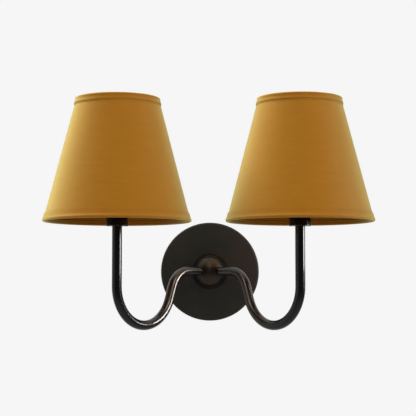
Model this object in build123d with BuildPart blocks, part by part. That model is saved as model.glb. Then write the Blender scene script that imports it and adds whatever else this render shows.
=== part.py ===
"""Double arm wall sconce: a round backplate, a domed hub, two swan-neck arms and two cloth shades.

Millimetres, +Z up. The wall is the plane Y = 0, the room lies towards -Y, and the origin is the
middle of the two wall screw slots on the bracket's back face.
"""

from build123d import *
from math import atan2, cos, degrees, radians, sin
import os

os.makedirs("parts", exist_ok=True)

# ---------------------------------------------------------------- driving dimensions
# Fits between pieces
fit_gap = 0.05          # all round a turned fit, such as a tube in its port
seat_gap = 0.3          # between pieces that are only held near each other
cloth_gap = 0.1         # between the shade's glued layers

# Backplate, a pressed steel cup
plate_diameter = 110.0
plate_depth = 20.0
plate_wall = 1.2
plate_edge_radius = 2.5

# Wall bracket, a folded steel strip
bracket_thickness = 2.0
bracket_width = 20.0
bracket_bend_radius = 2.0
bracket_rise = 4.0              # raised middle, so that screw ends stay clear of the wall
bracket_middle_length = 47.0
bracket_step_length = 4.0
bracket_ear_height = 14.0
ear_to_plate_gap = 1.6
wall_slot_spacing = 69.85       # 2 3/4 inches
wall_slot_length = 12.0
wall_slot_width = 4.6
wire_hole_diameter = 14.0

# Grub screws that hold the backplate to the bracket's ears
grub_diameter = 4.0
grub_length = 6.0
grub_socket_width = 2.0
grub_socket_depth = 2.0

# Earth screw
earth_screw_diameter = 4.0
earth_screw_length = 4.2
earth_head_diameter = 8.0
earth_head_height = 2.4
earth_head_chamfer = 0.8
earth_slot_width = 1.0
earth_slot_depth = 1.2
earth_screw_x = -16.0

# Terminal block, two-way
terminal_length = 17.0
terminal_width = 13.0
terminal_height = 9.5
terminal_x = 16.0
terminal_pitch = 8.0
terminal_wire_hole = 3.0
terminal_wire_height = 3.2      # wire holes above the bracket
terminal_screw_diameter = 3.0
terminal_screw_height = 2.6
terminal_screw_rows = 6.4
terminal_slot_width = 0.8
terminal_slot_depth = 0.7
terminal_groove = 1.4

# Hub, a turned dome with two arm ports
hub_dome_radius = 17.4
hub_skirt = 8.0                 # from the backplate to the dome's centre
hub_foot_radius = 18.0
hub_foot_height = 2.2
port_depth_radius = 9.0         # where an arm's end stops, from the dome's centre

# Nipple, washer and nut that clamp the hub to the backplate
nipple_diameter = 9.8
nipple_bore = 7.2
nipple_length = 14.0
nipple_in_hub = 6.0
washer_diameter = 18.0
washer_thickness = 0.8
washer_teeth = 12
washer_tooth_depth = 1.6
hub_nut_across_flats = 14.0
hub_nut_thickness = 4.0

# Arms, bent tube
tube_diameter = 10.3
tube_wall = 1.3
arm_angle = 50.0                # between each arm's plane and the wall
arm_lead = 36.5                 # straight run out of the hub, from the dome's centre
arm_drop_radius = 27.0
arm_drop_turn = 70.0
arm_middle_run = 14.0
arm_bowl_radius = 41.0

# Socket cup and its nut
cup_rise = 44.1                 # underside of the cup above the hub's centre
cup_diameter = 22.5
cup_wall = 1.0
cup_floor = 1.6
cup_height = 22.0
cup_corner_radius = 0.7
cup_nut_across_flats = 15.0
cup_nut_thickness = 3.0
tube_above_nut = 5.5

# Candle sleeve
sleeve_diameter = 19.8
sleeve_wall = 1.0
sleeve_above_holder = 4.9

# Lampholder for a 12 mm candelabra cap
holder_diameter = 16.6
holder_height = 36.5
holder_base_height = 12.5
holder_wire_hole = 6.0
shell_wall = 0.45
shell_rim_height = 0.6
centre_contact_height = 3.3
centre_contact_diameter = 8.0
centre_contact_thickness = 0.8
contact_tongue_foot = 5.4
contact_tongue_top = 2.6
contact_tongue_width = 2.4

# Candle bulb
cap_diameter = 11.9
cap_above_shell = 2.0
cap_bottom_diameter = 7.2
cap_cone_height = 2.0
cap_wall = 0.5
cap_rim_depth = 2.9
bulb_contact_diameter = 4.8
bulb_contact_height = 2.4
bulb_contact_chamfer = 1.1
bulb_neck_above_cap = 0.4
bulb_diameter = 34.0
bulb_widest_rise = 28.0         # from the cap's top edge
bulb_shoulder_diameter = 23.8
bulb_shoulder_rise = 20.7       # from the widest place
bulb_point_diameter = 10.2
bulb_point_drop = 9.9           # below the tip
bulb_glass_rise = 78.2          # from the cap's top edge to the tip

# Bulb clip, bent and brazed steel wire
clip_wire_diameter = 1.8
clip_loop_end_angle = 32.0      # where each loop starts to turn up, from the left-right line
clip_corner_run = 5.0           # from the loop's end to the upright wire
clip_corner_radius = 4.0
clip_straight_rise = 24.0
clip_bend_radius = 8.0
clip_top_radius = 4.0
clip_end_below_knuckle = 1.6
knuckle_length = 12.0
knuckle_diameter = 4.8
knuckle_above_bulb = 3.1

# Shade frame, steel wire
ring_wire_diameter = 2.0
cross_wire_diameter = 2.4
cross_wire_drop = 3.5
cross_wire_slope = 4.0
cross_wire_end_run = 6.5
cross_wire_bend_radius = 3.0

# Shade, cloth on a stiff card cone
shade_height = 128.1
shade_top_radius = 42.5         # middle of the top wire
shade_bottom_radius = 74.9      # middle of the bottom wire
shade_card = 1.0
trim_cloth = 0.75
trim_lining = 0.5
top_trim_height = 7.0
bottom_trim_height = 8.2
trim_lining_height = 5.0

# ---------------------------------------------------------------- places worked out from them
plate_radius = plate_diameter / 2
plate_inner_radius = plate_radius - plate_wall
plate_inside_depth = plate_depth - plate_wall
tube_radius = tube_diameter / 2
tube_bore_radius = tube_radius - tube_wall
wire_radius = ring_wire_diameter / 2

hub_centre = Vector(0, -(plate_depth + hub_skirt), 0)
leg_reach = (
    arm_lead
    + (arm_drop_radius + arm_bowl_radius) * sin(radians(arm_drop_turn))
    + arm_middle_run * cos(radians(arm_drop_turn))
    + arm_bowl_radius
)
light_x = leg_reach * cos(radians(arm_angle))
light_y = hub_centre.Y - leg_reach * sin(radians(arm_angle))

cup_inside_z = cup_rise + cup_floor
nut_top_z = cup_inside_z + cup_nut_thickness
tube_top_z = nut_top_z + tube_above_nut
holder_floor_z = nut_top_z + holder_base_height
holder_top_z = nut_top_z + holder_height
sleeve_top_z = holder_top_z + sleeve_above_holder
shell_radius = cap_diameter / 2 + fit_gap
bulb_bottom_z = holder_floor_z + centre_contact_height + seat_gap
cap_bottom_z = bulb_bottom_z + bulb_contact_height
cap_top_z = holder_top_z + shell_rim_height + cap_above_shell
bulb_widest_z = cap_top_z + bulb_widest_rise
bulb_tip_z = cap_top_z + bulb_glass_rise
knuckle_z = bulb_tip_z + knuckle_above_bulb + knuckle_diameter / 2
clip_loop_radius = bulb_diameter / 2 + seat_gap + clip_wire_diameter / 2
clip_riser_radius = (clip_loop_radius**2 + clip_corner_run**2) ** 0.5
clip_riser_angle = clip_loop_end_angle - degrees(atan2(clip_corner_run, clip_loop_radius))
clip_top_rise = knuckle_z - clip_end_below_knuckle - bulb_widest_z

bead_radius = wire_radius + fit_gap + trim_cloth
top_wire_z = knuckle_z + cross_wire_drop
bottom_wire_z = top_wire_z + 2 * bead_radius - shade_height
cone_rise = top_wire_z - bottom_wire_z
cone_run = shade_bottom_radius - shade_top_radius
cone_length = (cone_rise**2 + cone_run**2) ** 0.5

sides = (("left", -1), ("right", 1))


def light_axis(side):
    """Vertical centre line of one light: its leg, cup, bulb and shade."""
    return Axis((side * light_x, light_y, 0), (0, 0, 1))


def light_profile_plane(side):
    """Upright plane through a light's axis: local X is the radius, local Y the height."""
    return Plane(origin=(side * light_x, light_y, 0), x_dir=(1, 0, 0), z_dir=(0, -1, 0))


def light_level(side, height):
    """Level plane across a light's axis at a height."""
    return Plane(origin=(side * light_x, light_y, height))


def turned_level(side, height, turn):
    """Level plane across a light's axis, with local X turned about that axis."""
    across = (cos(radians(turn)), sin(radians(turn)), 0)
    return Plane(origin=(side * light_x, light_y, height), x_dir=across, z_dir=(0, 0, 1))


def turned_upright(side, height, turn):
    """Upright plane through a light's axis, with local X turned about it and local Y up."""
    across = (cos(radians(turn)), sin(radians(turn)), 0)
    facing = (sin(radians(turn)), -cos(radians(turn)), 0)
    return Plane(origin=(side * light_x, light_y, height), x_dir=across, z_dir=facing)


def arm_plane(side):
    """Upright plane of one arm: local X runs out from the hub's centre, local Y is up."""
    out = Vector(side * cos(radians(arm_angle)), -sin(radians(arm_angle)), 0)
    return Plane(origin=hub_centre, x_dir=out, z_dir=out.cross(Vector(0, 0, 1)))


def port_plane(side, reach):
    """Plane square to an arm's first run, at a distance from the hub's centre."""
    out = Vector(side * cos(radians(arm_angle)), -sin(radians(arm_angle)), 0)
    return Plane(origin=hub_centre + out * reach, x_dir=(0, 0, 1), z_dir=out)


def wall_plane(depth):
    """Plane parallel to the wall at a depth into the room, facing the room."""
    return Plane.XZ.offset(depth)


def cone_plane(side, end_z, end_radius, slope_sign):
    """Plane on the shade's slanted wall: local X points along the card, away from the wire."""
    along = Vector(slope_sign * cone_run, 0, -slope_sign * cone_rise) / cone_length
    return Plane(
        origin=(side * light_x + end_radius, light_y, end_z), x_dir=along, z_dir=(0, -1, 0)
    )


def clip_riser_points(angle):
    """Corner, bend and upper end of one upright clip wire, from the middle of its loop."""
    across_x = cos(radians(angle))
    across_y = sin(radians(angle))
    return (
        (clip_riser_radius * across_x, clip_riser_radius * across_y, 0),
        (clip_riser_radius * across_x, clip_riser_radius * across_y, clip_straight_rise),
        (clip_top_radius * across_x, clip_top_radius * across_y, clip_top_rise),
    )


# ---------------------------------------------------------------- wall bracket
ear_x = plate_inner_radius - ear_to_plate_gap - bracket_thickness / 2
foot_y = -bracket_thickness / 2
middle_y = foot_y - bracket_rise
middle_x = bracket_middle_length / 2
foot_x = middle_x + bracket_step_length
bracket_face = bracket_rise + bracket_thickness      # front of the raised middle
ear_middle = (bracket_ear_height + bracket_thickness) / 2

with BuildPart() as wall_bracket:
    with BuildSketch(Plane.XY.offset(-bracket_width / 2)):
        with BuildLine():
            FilletPolyline(
                (-ear_x, -bracket_ear_height),
                (-ear_x, foot_y),
                (-foot_x, foot_y),
                (-middle_x, middle_y),
                (middle_x, middle_y),
                (foot_x, foot_y),
                (ear_x, foot_y),
                (ear_x, -bracket_ear_height),
                radius=bracket_bend_radius,
            )
        trace(line_width=bracket_thickness)
    extrude(amount=bracket_width)
    with BuildSketch(wall_plane(0)):
        with Locations((-wall_slot_spacing / 2, 0), (wall_slot_spacing / 2, 0)):
            SlotOverall(wall_slot_length, wall_slot_width)
        Circle(wire_hole_diameter / 2)
        with Locations((earth_screw_x, 0)):
            Circle(earth_screw_diameter / 2 + fit_gap)
    extrude(amount=bracket_face, mode=Mode.SUBTRACT)
    with BuildSketch(Plane.YZ):
        with Locations((-ear_middle, 0)):
            Circle(grub_diameter / 2 + fit_gap)
    extrude(amount=plate_radius, both=True, mode=Mode.SUBTRACT)

wall_bracket.part.label = "wall_bracket"
export_step(wall_bracket.part, "parts/wall_bracket.step")

# ---------------------------------------------------------------- backplate
with BuildPart() as backplate:
    with BuildSketch(wall_plane(0)):
        Circle(plate_radius)
    extrude(amount=plate_depth)
    fillet(backplate.edges().sort_by(Axis.Y)[0], plate_edge_radius)
    offset(amount=-plate_wall, openings=backplate.faces().sort_by(Axis.Y)[-1])
    with BuildSketch(wall_plane(plate_inside_depth)):
        Circle(nipple_diameter / 2 + cloth_gap)
    extrude(amount=plate_wall, mode=Mode.SUBTRACT)
    with BuildSketch(Plane.YZ):
        with Locations((-ear_middle, 0)):
            Circle(grub_diameter / 2 + fit_gap)
    extrude(amount=plate_diameter, both=True, mode=Mode.SUBTRACT)

backplate.part.label = "backplate"
export_step(backplate.part, "parts/backplate.step")

# ---------------------------------------------------------------- grub screws
with BuildPart() as grub_screws:
    for side_name, side in sides:
        grub_face = Plane(
            origin=(side * (plate_radius - seat_gap), -ear_middle, 0), z_dir=(-side, 0, 0)
        )
        with BuildSketch(grub_face):
            Circle(grub_diameter / 2)
        extrude(amount=grub_length)
        with BuildSketch(grub_face):
            RegularPolygon(grub_socket_width / 2, 6, major_radius=False)
        extrude(amount=grub_socket_depth, mode=Mode.SUBTRACT)

grub_screws.part.label = "grub_screws"
export_step(grub_screws.part, "parts/grub_screws.step")

# ---------------------------------------------------------------- earth screw
with BuildPart() as earth_screw:
    with BuildSketch(wall_plane(bracket_face)):
        with Locations((earth_screw_x, 0)):
            Circle(earth_head_diameter / 2)
    extrude(amount=earth_head_height)
    chamfer(earth_screw.edges().sort_by(Axis.Y)[0], earth_head_chamfer)
    with BuildSketch(wall_plane(bracket_face)):
        with Locations((earth_screw_x, 0)):
            Circle(earth_screw_diameter / 2)
    extrude(amount=-earth_screw_length)
    with BuildSketch(wall_plane(bracket_face + earth_head_height)):
        with Locations((earth_screw_x, 0)):
            Rectangle(earth_head_diameter, earth_slot_width)
    extrude(amount=-earth_slot_depth, mode=Mode.SUBTRACT)

earth_screw.part.label = "earth_screw"
export_step(earth_screw.part, "parts/earth_screw.step")

# ---------------------------------------------------------------- terminal block and its screws
terminal_front = bracket_face + terminal_height

with BuildPart() as terminal_block:
    with BuildSketch(wall_plane(bracket_face)):
        with Locations((terminal_x, 0)):
            Rectangle(terminal_width, terminal_length)
    extrude(amount=terminal_height)
    with BuildSketch(Plane.YZ.offset(terminal_x)):
        with Locations((-(bracket_face + terminal_wire_height), 0)):
            with GridLocations(1, terminal_pitch, 1, 2):
                Circle(terminal_wire_hole / 2)
    extrude(amount=terminal_width, both=True, mode=Mode.SUBTRACT)
    with BuildSketch(wall_plane(terminal_front)):
        with Locations((terminal_x, 0)):
            with GridLocations(terminal_screw_rows, terminal_pitch, 2, 2):
                Circle(terminal_screw_diameter / 2 + fit_gap)
            Rectangle(terminal_width, terminal_groove)
    extrude(amount=-(terminal_screw_height + seat_gap), mode=Mode.SUBTRACT)

terminal_block.part.label = "terminal_block"
export_step(terminal_block.part, "parts/terminal_block.step")

with BuildPart() as terminal_screws:
    with BuildSketch(wall_plane(terminal_front - seat_gap)):
        with Locations((terminal_x, 0)):
            with GridLocations(terminal_screw_rows, terminal_pitch, 2, 2):
                Circle(terminal_screw_diameter / 2)
    extrude(amount=-terminal_screw_height)
    with BuildSketch(wall_plane(terminal_front - seat_gap)):
        with Locations((terminal_x, 0)):
            with GridLocations(terminal_screw_rows, terminal_pitch, 2, 2):
                Rectangle(terminal_screw_diameter, terminal_slot_width)
    extrude(amount=-terminal_slot_depth, mode=Mode.SUBTRACT)

terminal_screws.part.label = "terminal_screws"
export_step(terminal_screws.part, "parts/terminal_screws.step")

# ---------------------------------------------------------------- hub
foot_step = hub_foot_radius - hub_dome_radius
foot_round_y = -(plate_depth + hub_foot_height - foot_step)

with BuildPart() as hub:
    with BuildSketch(Plane.XY):
        with BuildLine():
            Line((0, -plate_depth), (hub_foot_radius, -plate_depth))
            Line((hub_foot_radius, -plate_depth), (hub_foot_radius, foot_round_y))
            foot_round = CenterArc((hub_dome_radius, foot_round_y), foot_step, 0, -90)
            Line(foot_round @ 1, (hub_dome_radius, hub_centre.Y))
            CenterArc((0, hub_centre.Y), hub_dome_radius, 0, -90)
            Line((0, hub_centre.Y - hub_dome_radius), (0, -plate_depth))
        make_face()
    revolve(axis=Axis.Y)
    with BuildSketch(wall_plane(plate_depth)):
        Circle(nipple_diameter / 2 + fit_gap)
    extrude(amount=hub_skirt, mode=Mode.SUBTRACT)
    for side_name, side in sides:
        with BuildSketch(port_plane(side, 0)):
            Circle(tube_bore_radius)
        extrude(amount=port_depth_radius, mode=Mode.SUBTRACT)
        with BuildSketch(port_plane(side, port_depth_radius)):
            Circle(tube_radius + fit_gap)
        extrude(amount=hub_dome_radius, mode=Mode.SUBTRACT)

hub.part.label = "hub"
export_step(hub.part, "parts/hub.step")

# ---------------------------------------------------------------- nipple, washer and nut
with BuildPart() as hub_nipple:
    with BuildSketch(wall_plane(plate_depth + nipple_in_hub)):
        Circle(nipple_diameter / 2)
        Circle(nipple_bore / 2, mode=Mode.SUBTRACT)
    extrude(amount=-nipple_length)

hub_nipple.part.label = "hub_nipple"
export_step(hub_nipple.part, "parts/hub_nipple.step")

with BuildPart() as hub_washer:
    with BuildSketch(wall_plane(plate_inside_depth)):
        Circle(washer_diameter / 2)
        with PolarLocations(washer_diameter / 2, washer_teeth):
            Rectangle(2 * washer_tooth_depth, washer_tooth_depth, mode=Mode.SUBTRACT)
        Circle(nipple_diameter / 2 + cloth_gap, mode=Mode.SUBTRACT)
    extrude(amount=-washer_thickness)

hub_washer.part.label = "hub_washer"
export_step(hub_washer.part, "parts/hub_washer.step")

with BuildPart() as hub_nut:
    with BuildSketch(wall_plane(plate_inside_depth - washer_thickness)):
        RegularPolygon(hub_nut_across_flats / 2, 6, major_radius=False)
        Circle(nipple_diameter / 2 + fit_gap, mode=Mode.SUBTRACT)
    extrude(amount=-hub_nut_thickness)

hub_nut.part.label = "hub_nut"
export_step(hub_nut.part, "parts/hub_nut.step")

# ---------------------------------------------------------------- the two lights
for side_name, side in sides:
    axis = light_axis(side)
    profile_plane = light_profile_plane(side)

    # Arm: straight out of the hub, over the drop, round the bowl and up to the cup
    with BuildPart() as arm:
        with BuildLine(arm_plane(side)):
            lead = Line((port_depth_radius, 0), (arm_lead, 0))
            drop = JernArc(lead @ 1, lead % 1, arm_drop_radius, -arm_drop_turn)
            middle = PolarLine(drop @ 1, arm_middle_run, direction=drop % 1)
            bowl = JernArc(middle @ 1, middle % 1, arm_bowl_radius, 90 + arm_drop_turn)
            Line(bowl @ 1, (leg_reach, tube_top_z))
        with BuildSketch(port_plane(side, port_depth_radius)):
            Circle(tube_radius)
            Circle(tube_bore_radius, mode=Mode.SUBTRACT)
        sweep()
    arm.part.label = f"arm_{side_name}"
    export_step(arm.part, f"parts/arm_{side_name}.step")

    # Socket cup: flat floor, straight wall, rounded corner, screwed on the arm's end
    with BuildPart() as cup:
        with BuildSketch(light_level(side, cup_rise)):
            Circle(cup_diameter / 2)
        extrude(amount=cup_height)
        fillet(cup.edges().sort_by(Axis.Z)[0], cup_corner_radius)
        with BuildSketch(light_level(side, cup_inside_z)):
            Circle(cup_diameter / 2 - cup_wall)
        extrude(amount=cup_height, mode=Mode.SUBTRACT)
        with BuildSketch(light_level(side, cup_rise)):
            Circle(tube_radius + fit_gap)
        extrude(amount=cup_floor, mode=Mode.SUBTRACT)
    cup.part.label = f"cup_{side_name}"
    export_step(cup.part, f"parts/cup_{side_name}.step")

    # Nut that locks the cup on the arm's end
    with BuildPart() as cup_nut:
        with BuildSketch(light_level(side, cup_inside_z)):
            RegularPolygon(cup_nut_across_flats / 2, 6, major_radius=False)
            Circle(tube_radius + fit_gap, mode=Mode.SUBTRACT)
        extrude(amount=cup_nut_thickness)
    cup_nut.part.label = f"cup_nut_{side_name}"
    export_step(cup_nut.part, f"parts/cup_nut_{side_name}.step")

    # Candle sleeve, standing on the cup's floor
    with BuildPart() as sleeve:
        with BuildSketch(light_level(side, cup_inside_z)):
            Circle(sleeve_diameter / 2)
            Circle(sleeve_diameter / 2 - sleeve_wall, mode=Mode.SUBTRACT)
        extrude(amount=sleeve_top_z - cup_inside_z)
    sleeve.part.label = f"candle_sleeve_{side_name}"
    export_step(sleeve.part, f"parts/candle_sleeve_{side_name}.step")

    # Lampholder: screwed onto the arm's end, with a pocket for the screw shell
    with BuildPart() as holder:
        with BuildSketch(light_level(side, nut_top_z)):
            Circle(holder_diameter / 2)
        extrude(amount=holder_height)
        with BuildSketch(light_level(side, nut_top_z)):
            Circle(tube_radius + fit_gap)
        extrude(amount=tube_above_nut + seat_gap, mode=Mode.SUBTRACT)
        with BuildSketch(light_level(side, nut_top_z)):
            Circle(holder_wire_hole / 2)
        extrude(amount=holder_base_height, mode=Mode.SUBTRACT)
        with BuildSketch(light_level(side, holder_floor_z)):
            Circle(shell_radius + shell_wall + fit_gap)
        extrude(amount=holder_height, mode=Mode.SUBTRACT)
    holder.part.label = f"lampholder_{side_name}"
    export_step(holder.part, f"parts/lampholder_{side_name}.step")

    # Brass screw shell with its turned-out rim
    with BuildPart() as shell:
        with BuildSketch(light_level(side, holder_floor_z)):
            Circle(shell_radius + shell_wall)
            Circle(shell_radius, mode=Mode.SUBTRACT)
        extrude(amount=holder_height - holder_base_height)
        with BuildSketch(light_level(side, holder_top_z)):
            Circle(shell_radius + 2 * shell_wall)
            Circle(shell_radius, mode=Mode.SUBTRACT)
        extrude(amount=shell_rim_height)
    shell.part.label = f"screw_shell_{side_name}"
    export_step(shell.part, f"parts/screw_shell_{side_name}.step")

    # Centre contact: a riveted disc with a sprung tongue bent up under the bulb
    with BuildPart() as contact:
        with BuildSketch(light_level(side, holder_floor_z)):
            Circle(centre_contact_diameter / 2)
        extrude(amount=centre_contact_thickness)
        with BuildSketch(profile_plane):
            with BuildLine():
                Polyline(
                    (-contact_tongue_foot / 2, holder_floor_z + centre_contact_thickness),
                    (-contact_tongue_top / 2, holder_floor_z + centre_contact_height),
                    (contact_tongue_top / 2, holder_floor_z + centre_contact_height),
                    (contact_tongue_foot / 2, holder_floor_z + centre_contact_thickness),
                    close=True,
                )
            make_face()
        extrude(amount=contact_tongue_width / 2, both=True)
    contact.part.label = f"centre_contact_{side_name}"
    export_step(contact.part, f"parts/centre_contact_{side_name}.step")

    # Bulb contact: the lead tip under the cap
    with BuildPart() as bulb_contact:
        with BuildSketch(light_level(side, cap_bottom_z)):
            Circle(bulb_contact_diameter / 2)
        extrude(amount=-bulb_contact_height)
        chamfer(bulb_contact.edges().sort_by(Axis.Z)[0], bulb_contact_chamfer)
    bulb_contact.part.label = f"bulb_contact_{side_name}"
    export_step(bulb_contact.part, f"parts/bulb_contact_{side_name}.step")

    # Bulb cap: brass, coned at the bottom, with a recess for the glass
    with BuildPart() as cap:
        with BuildSketch(profile_plane):
            with BuildLine():
                Polyline(
                    (0, cap_bottom_z),
                    (cap_bottom_diameter / 2, cap_bottom_z),
                    (cap_diameter / 2, cap_bottom_z + cap_cone_height),
                    (cap_diameter / 2, cap_top_z),
                    (cap_diameter / 2 - cap_wall, cap_top_z),
                    (cap_diameter / 2 - cap_wall, cap_top_z - cap_rim_depth - seat_gap),
                    (0, cap_top_z - cap_rim_depth - seat_gap),
                    close=True,
                )
            make_face()
        revolve(axis=axis)
    cap.part.label = f"bulb_cap_{side_name}"
    export_step(cap.part, f"parts/bulb_cap_{side_name}.step")

    # Bulb glass: a candle shape drawn with two curves
    neck_radius = cap_diameter / 2 - cap_wall - fit_gap
    neck_top_z = cap_top_z + bulb_neck_above_cap
    with BuildPart() as glass:
        with BuildSketch(profile_plane):
            with BuildLine():
                Line((0, cap_top_z - cap_rim_depth), (neck_radius, cap_top_z - cap_rim_depth))
                Line((neck_radius, cap_top_z - cap_rim_depth), (neck_radius, neck_top_z))
                Spline(
                    (neck_radius, neck_top_z),
                    (bulb_diameter / 2, bulb_widest_z),
                    tangents=((1, 1), (0, 1)),
                )
                Spline(
                    (bulb_diameter / 2, bulb_widest_z),
                    (bulb_shoulder_diameter / 2, bulb_widest_z + bulb_shoulder_rise),
                    (bulb_point_diameter / 2, bulb_tip_z - bulb_point_drop),
                    (0, bulb_tip_z),
                    tangents=((0, 1), (-1, 0.5)),
                )
                Line((0, bulb_tip_z), (0, cap_top_z - cap_rim_depth))
            make_face()
        revolve(axis=axis)
    glass.part.label = f"bulb_glass_{side_name}"
    export_step(glass.part, f"parts/bulb_glass_{side_name}.step")

    # Bulb clip: two wire loops round the glass, brazed under a knuckle on the cross wire
    with BuildPart() as clip:
        with BuildSketch(Plane.YZ.offset(side * light_x - knuckle_length / 2)):
            with Locations((light_y, knuckle_z)):
                Circle(knuckle_diameter / 2)
        extrude(amount=knuckle_length)
        for loop_turn in (0, 180):
            with BuildLine(turned_level(side, bulb_widest_z, loop_turn)) as loop:
                front = CenterArc(
                    (0, 0), clip_loop_radius, clip_loop_end_angle, 180 - 2 * clip_loop_end_angle
                )
                for end, riser_angle in ((0, clip_riser_angle), (1, 180 - clip_riser_angle)):
                    FilletPolyline(
                        front @ end,
                        *clip_riser_points(riser_angle),
                        radius=(clip_corner_radius, clip_bend_radius),
                    )
            with BuildSketch(Plane(origin=loop.line @ 0, z_dir=loop.line % 0)):
                Circle(clip_wire_diameter / 2)
            sweep()
        with BuildSketch(Plane.YZ.offset(side * light_x - knuckle_length / 2)):
            with Locations((light_y, knuckle_z)):
                Circle(cross_wire_diameter / 2 + fit_gap)
        extrude(amount=knuckle_length, mode=Mode.SUBTRACT)
    clip.part.label = f"bulb_clip_{side_name}"
    export_step(clip.part, f"parts/bulb_clip_{side_name}.step")

    # Top ring with its welded cross wire, on which the shade tilts
    bend_x = shade_top_radius - cross_wire_end_run
    with BuildPart() as top_ring:
        with BuildSketch(profile_plane):
            with Locations((shade_top_radius, top_wire_z)):
                Circle(wire_radius)
        revolve(axis=axis)
        with BuildLine(profile_plane):
            FilletPolyline(
                (-shade_top_radius, top_wire_z),
                (-bend_x, top_wire_z),
                (-bend_x + cross_wire_slope, knuckle_z),
                (bend_x - cross_wire_slope, knuckle_z),
                (bend_x, top_wire_z),
                (shade_top_radius, top_wire_z),
                radius=cross_wire_bend_radius,
            )
        with BuildSketch(Plane.YZ.offset(side * light_x - shade_top_radius)):
            with Locations((light_y, top_wire_z)):
                Circle(cross_wire_diameter / 2)
        sweep()
    top_ring.part.label = f"shade_top_ring_{side_name}"
    export_step(top_ring.part, f"parts/shade_top_ring_{side_name}.step")

    # Bottom ring, a plain wire hoop
    with BuildPart() as bottom_ring:
        with BuildSketch(profile_plane):
            with Locations((shade_bottom_radius, bottom_wire_z)):
                Circle(wire_radius)
        revolve(axis=axis)
    bottom_ring.part.label = f"shade_bottom_ring_{side_name}"
    export_step(bottom_ring.part, f"parts/shade_bottom_ring_{side_name}.step")

    # Shade cover: cloth on card, a cone open at both ends
    edge_gap = max(wire_radius, cross_wire_diameter / 2) + cloth_gap
    with BuildPart() as cover:
        with BuildSketch(cone_plane(side, top_wire_z, shade_top_radius, 1)):
            with Locations((cone_length / 2, 0)):
                Rectangle(cone_length - 2 * edge_gap, shade_card)
        revolve(axis=axis)
    cover.part.label = f"shade_cover_{side_name}"
    export_step(cover.part, f"parts/shade_cover_{side_name}.step")

    # Trims: folded cloth round each wire, an outer band and a shorter lining inside
    for trim_name, end_z, end_radius, slope_sign, band_height in (
        ("top", top_wire_z, shade_top_radius, 1, top_trim_height),
        ("bottom", bottom_wire_z, shade_bottom_radius, -1, bottom_trim_height),
    ):
        inner_face = shade_card / 2 + cloth_gap
        wire_pocket = ring_wire_diameter + 2 * fit_gap
        band_length = band_height - bead_radius
        lining_length = trim_lining_height - bead_radius
        with BuildPart() as trim:
            with BuildSketch(cone_plane(side, end_z, end_radius, slope_sign)):
                Circle(bead_radius)
                with Locations((band_length / 2, slope_sign * (inner_face + trim_cloth / 2))):
                    Rectangle(band_length, trim_cloth)
                with Locations((lining_length / 2, -slope_sign * (inner_face + trim_lining / 2))):
                    Rectangle(lining_length, trim_lining)
                Rectangle(wire_pocket, wire_pocket, mode=Mode.SUBTRACT)
                with Locations((band_length / 2, 0)):
                    Rectangle(band_length, 2 * inner_face, mode=Mode.SUBTRACT)
            revolve(axis=axis)
            if trim_name == "top":
                with BuildSketch(Plane.YZ.offset(side * light_x - shade_top_radius)):
                    with Locations((light_y, top_wire_z)):
                        Circle(cross_wire_diameter / 2 + cloth_gap)
                extrude(amount=2 * shade_top_radius, mode=Mode.SUBTRACT)
        trim.part.label = f"shade_{trim_name}_trim_{side_name}"
        export_step(trim.part, f"parts/shade_{trim_name}_trim_{side_name}.step")
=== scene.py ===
# %% [markdown]
# # A double arm wall sconce
# The imported model brings every rigid piece at its real size. This lesson gives each of them its
# finish, and makes two things anew: the bent arms, with even rings, and the cloth shades, as card
# cone, woven cloth and folded trims.
# The first cell loads the model.

# %% Load the imported model
from math import atan2, cos, hypot, pi, radians, sin

import bpy
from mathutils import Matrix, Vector


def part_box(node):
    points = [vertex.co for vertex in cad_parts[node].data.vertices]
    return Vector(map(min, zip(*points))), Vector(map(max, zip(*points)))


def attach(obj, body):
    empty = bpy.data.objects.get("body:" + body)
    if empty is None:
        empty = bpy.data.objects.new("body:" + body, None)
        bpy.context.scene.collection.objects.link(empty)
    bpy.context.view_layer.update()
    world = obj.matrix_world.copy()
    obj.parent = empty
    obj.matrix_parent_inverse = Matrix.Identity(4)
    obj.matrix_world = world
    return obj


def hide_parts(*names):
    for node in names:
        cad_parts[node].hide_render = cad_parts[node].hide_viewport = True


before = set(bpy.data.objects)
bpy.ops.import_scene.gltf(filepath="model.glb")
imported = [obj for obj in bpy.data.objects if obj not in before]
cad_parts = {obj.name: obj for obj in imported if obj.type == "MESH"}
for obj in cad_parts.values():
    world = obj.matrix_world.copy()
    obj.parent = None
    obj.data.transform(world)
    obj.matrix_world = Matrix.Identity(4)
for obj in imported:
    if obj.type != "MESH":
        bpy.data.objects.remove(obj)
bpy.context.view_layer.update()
bpy.ops.object.select_all(action="DESELECT")
mm = 0.001
sides = ("left", "right")

# %% [markdown]
# ## The camera
# A photograph's camera can be set by eye or worked out. Here it is worked out: the ellipses of
# the shade rims give the height of the eye and the distance, and the plate's circle the scale.
# It stands 1.4 m from the wall, a little below the hub, and looks up by four degrees.

# %% Camera
photo_width = 416
focal_in_pixels = 1225.4
sensor_width = 36.0
eye = Vector((16.0, -1396.3, -24.8)) * mm
look_up = radians(3.998)
look_left = radians(0.753)

camera_data = bpy.data.cameras.new("photo_camera")
camera_data.sensor_width = sensor_width
camera_data.lens = focal_in_pixels / photo_width * sensor_width
camera = bpy.data.objects.new("photo_camera", camera_data)
camera.location = eye
camera.rotation_euler = (pi / 2 + look_up, 0, look_left)
bpy.context.scene.collection.objects.link(camera)
bpy.context.scene.camera = camera
bpy.context.scene.view_settings.view_transform = "Standard"
print("lens", round(camera_data.lens, 2), "mm")

# %% [markdown]
# ## Helpers for nodes
# The room's light and every finish are trees of nodes, and most of a tree is small sums. Each
# could be wired by hand, but then the wiring hides what the tree does. So one short helper makes
# each common node, wires it and hands back its output.

# %% Helpers for nodes


def link(tree, a, b):
    """Joins an output socket to an input."""
    tree.links.new(a, b)


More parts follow.
